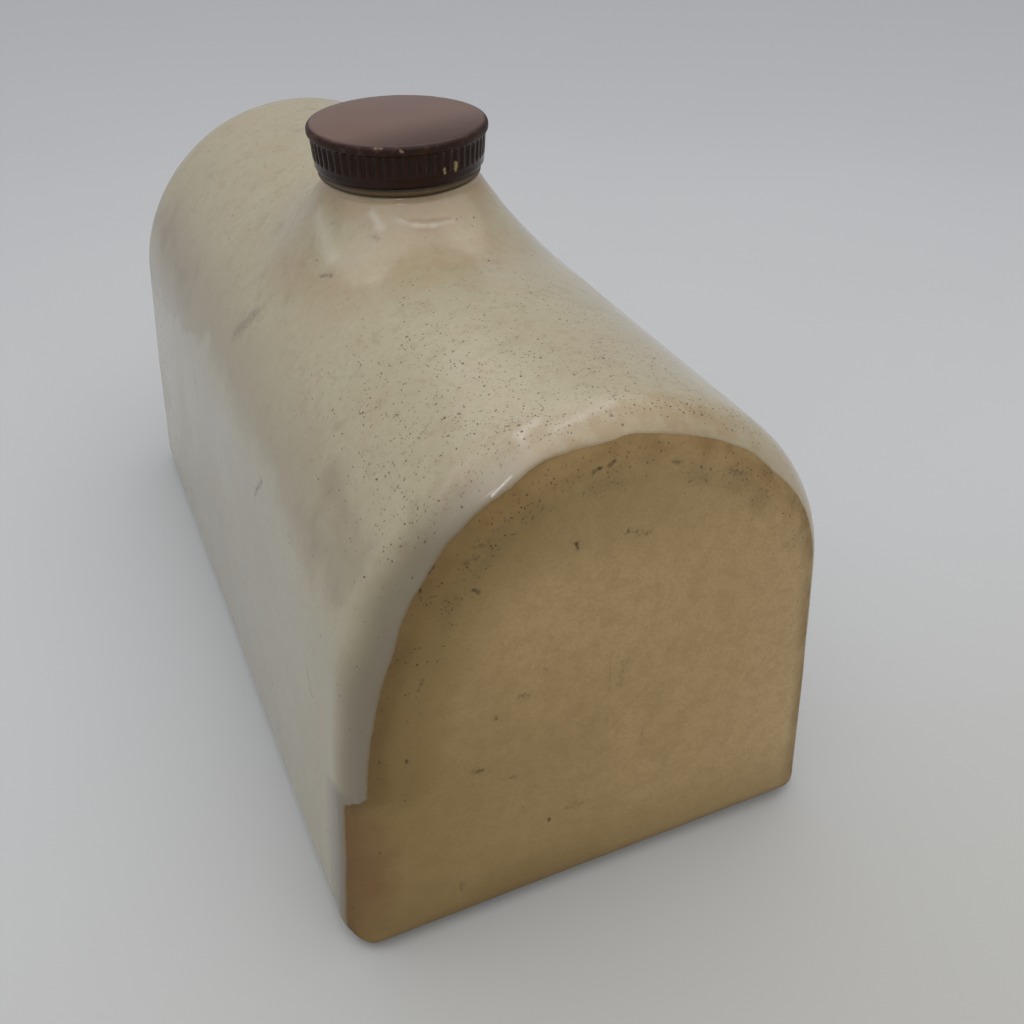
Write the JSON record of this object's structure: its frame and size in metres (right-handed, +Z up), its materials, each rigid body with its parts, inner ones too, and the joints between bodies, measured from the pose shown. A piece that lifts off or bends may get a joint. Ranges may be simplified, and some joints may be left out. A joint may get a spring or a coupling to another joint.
{
  "type": "stoneware hot water bottle",
  "caption": "Hollow glazed stoneware hot water bottle with a flat base, arched top and short flared neck, closed by a ribbed screw stopper that presses a rubber ring onto the rim.",
  "frame": {"origin": "middle of the flat base, on the surface the bottle lies on", "axes": "+Z up, +Y along the length towards the fully glazed end, so the unglazed end faces -Y; +X across the width"},
  "size_m": [0.1482, 0.29, 0.1769],
  "materials": {
    "cream_glaze": "glossy cream salt glaze with fine iron specks, bare tan clay on the flat end",
    "brown_glaze": "glossy dark chocolate brown glaze",
    "seal_rubber": "aged tan rubber, matte"
  },
  "bodies": {
    "bottle": {"bottle": "cream_glaze"},
    "seal_ring": {"seal_ring": "seal_rubber"},
    "stopper": {"stopper": "brown_glaze"}
  },
  "joints": [
    {"name": "stopper_rise", "type": "slide", "parent": "bottle", "child": "seal_ring", "axis": [0, 0, 1], "range_m": [0, 0.0241]},
    {"name": "stopper_turn", "type": "hinge", "parent": "seal_ring", "child": "stopper", "pos_m": [0, -0.004, 0.1643], "axis": [0, 0, 1], "range_deg": [0, 1080]}
  ],
  "couplings": [
    {"joint": "stopper_rise", "follows": "stopper_turn", "m_per_rad": 0.0012732}
  ]
}
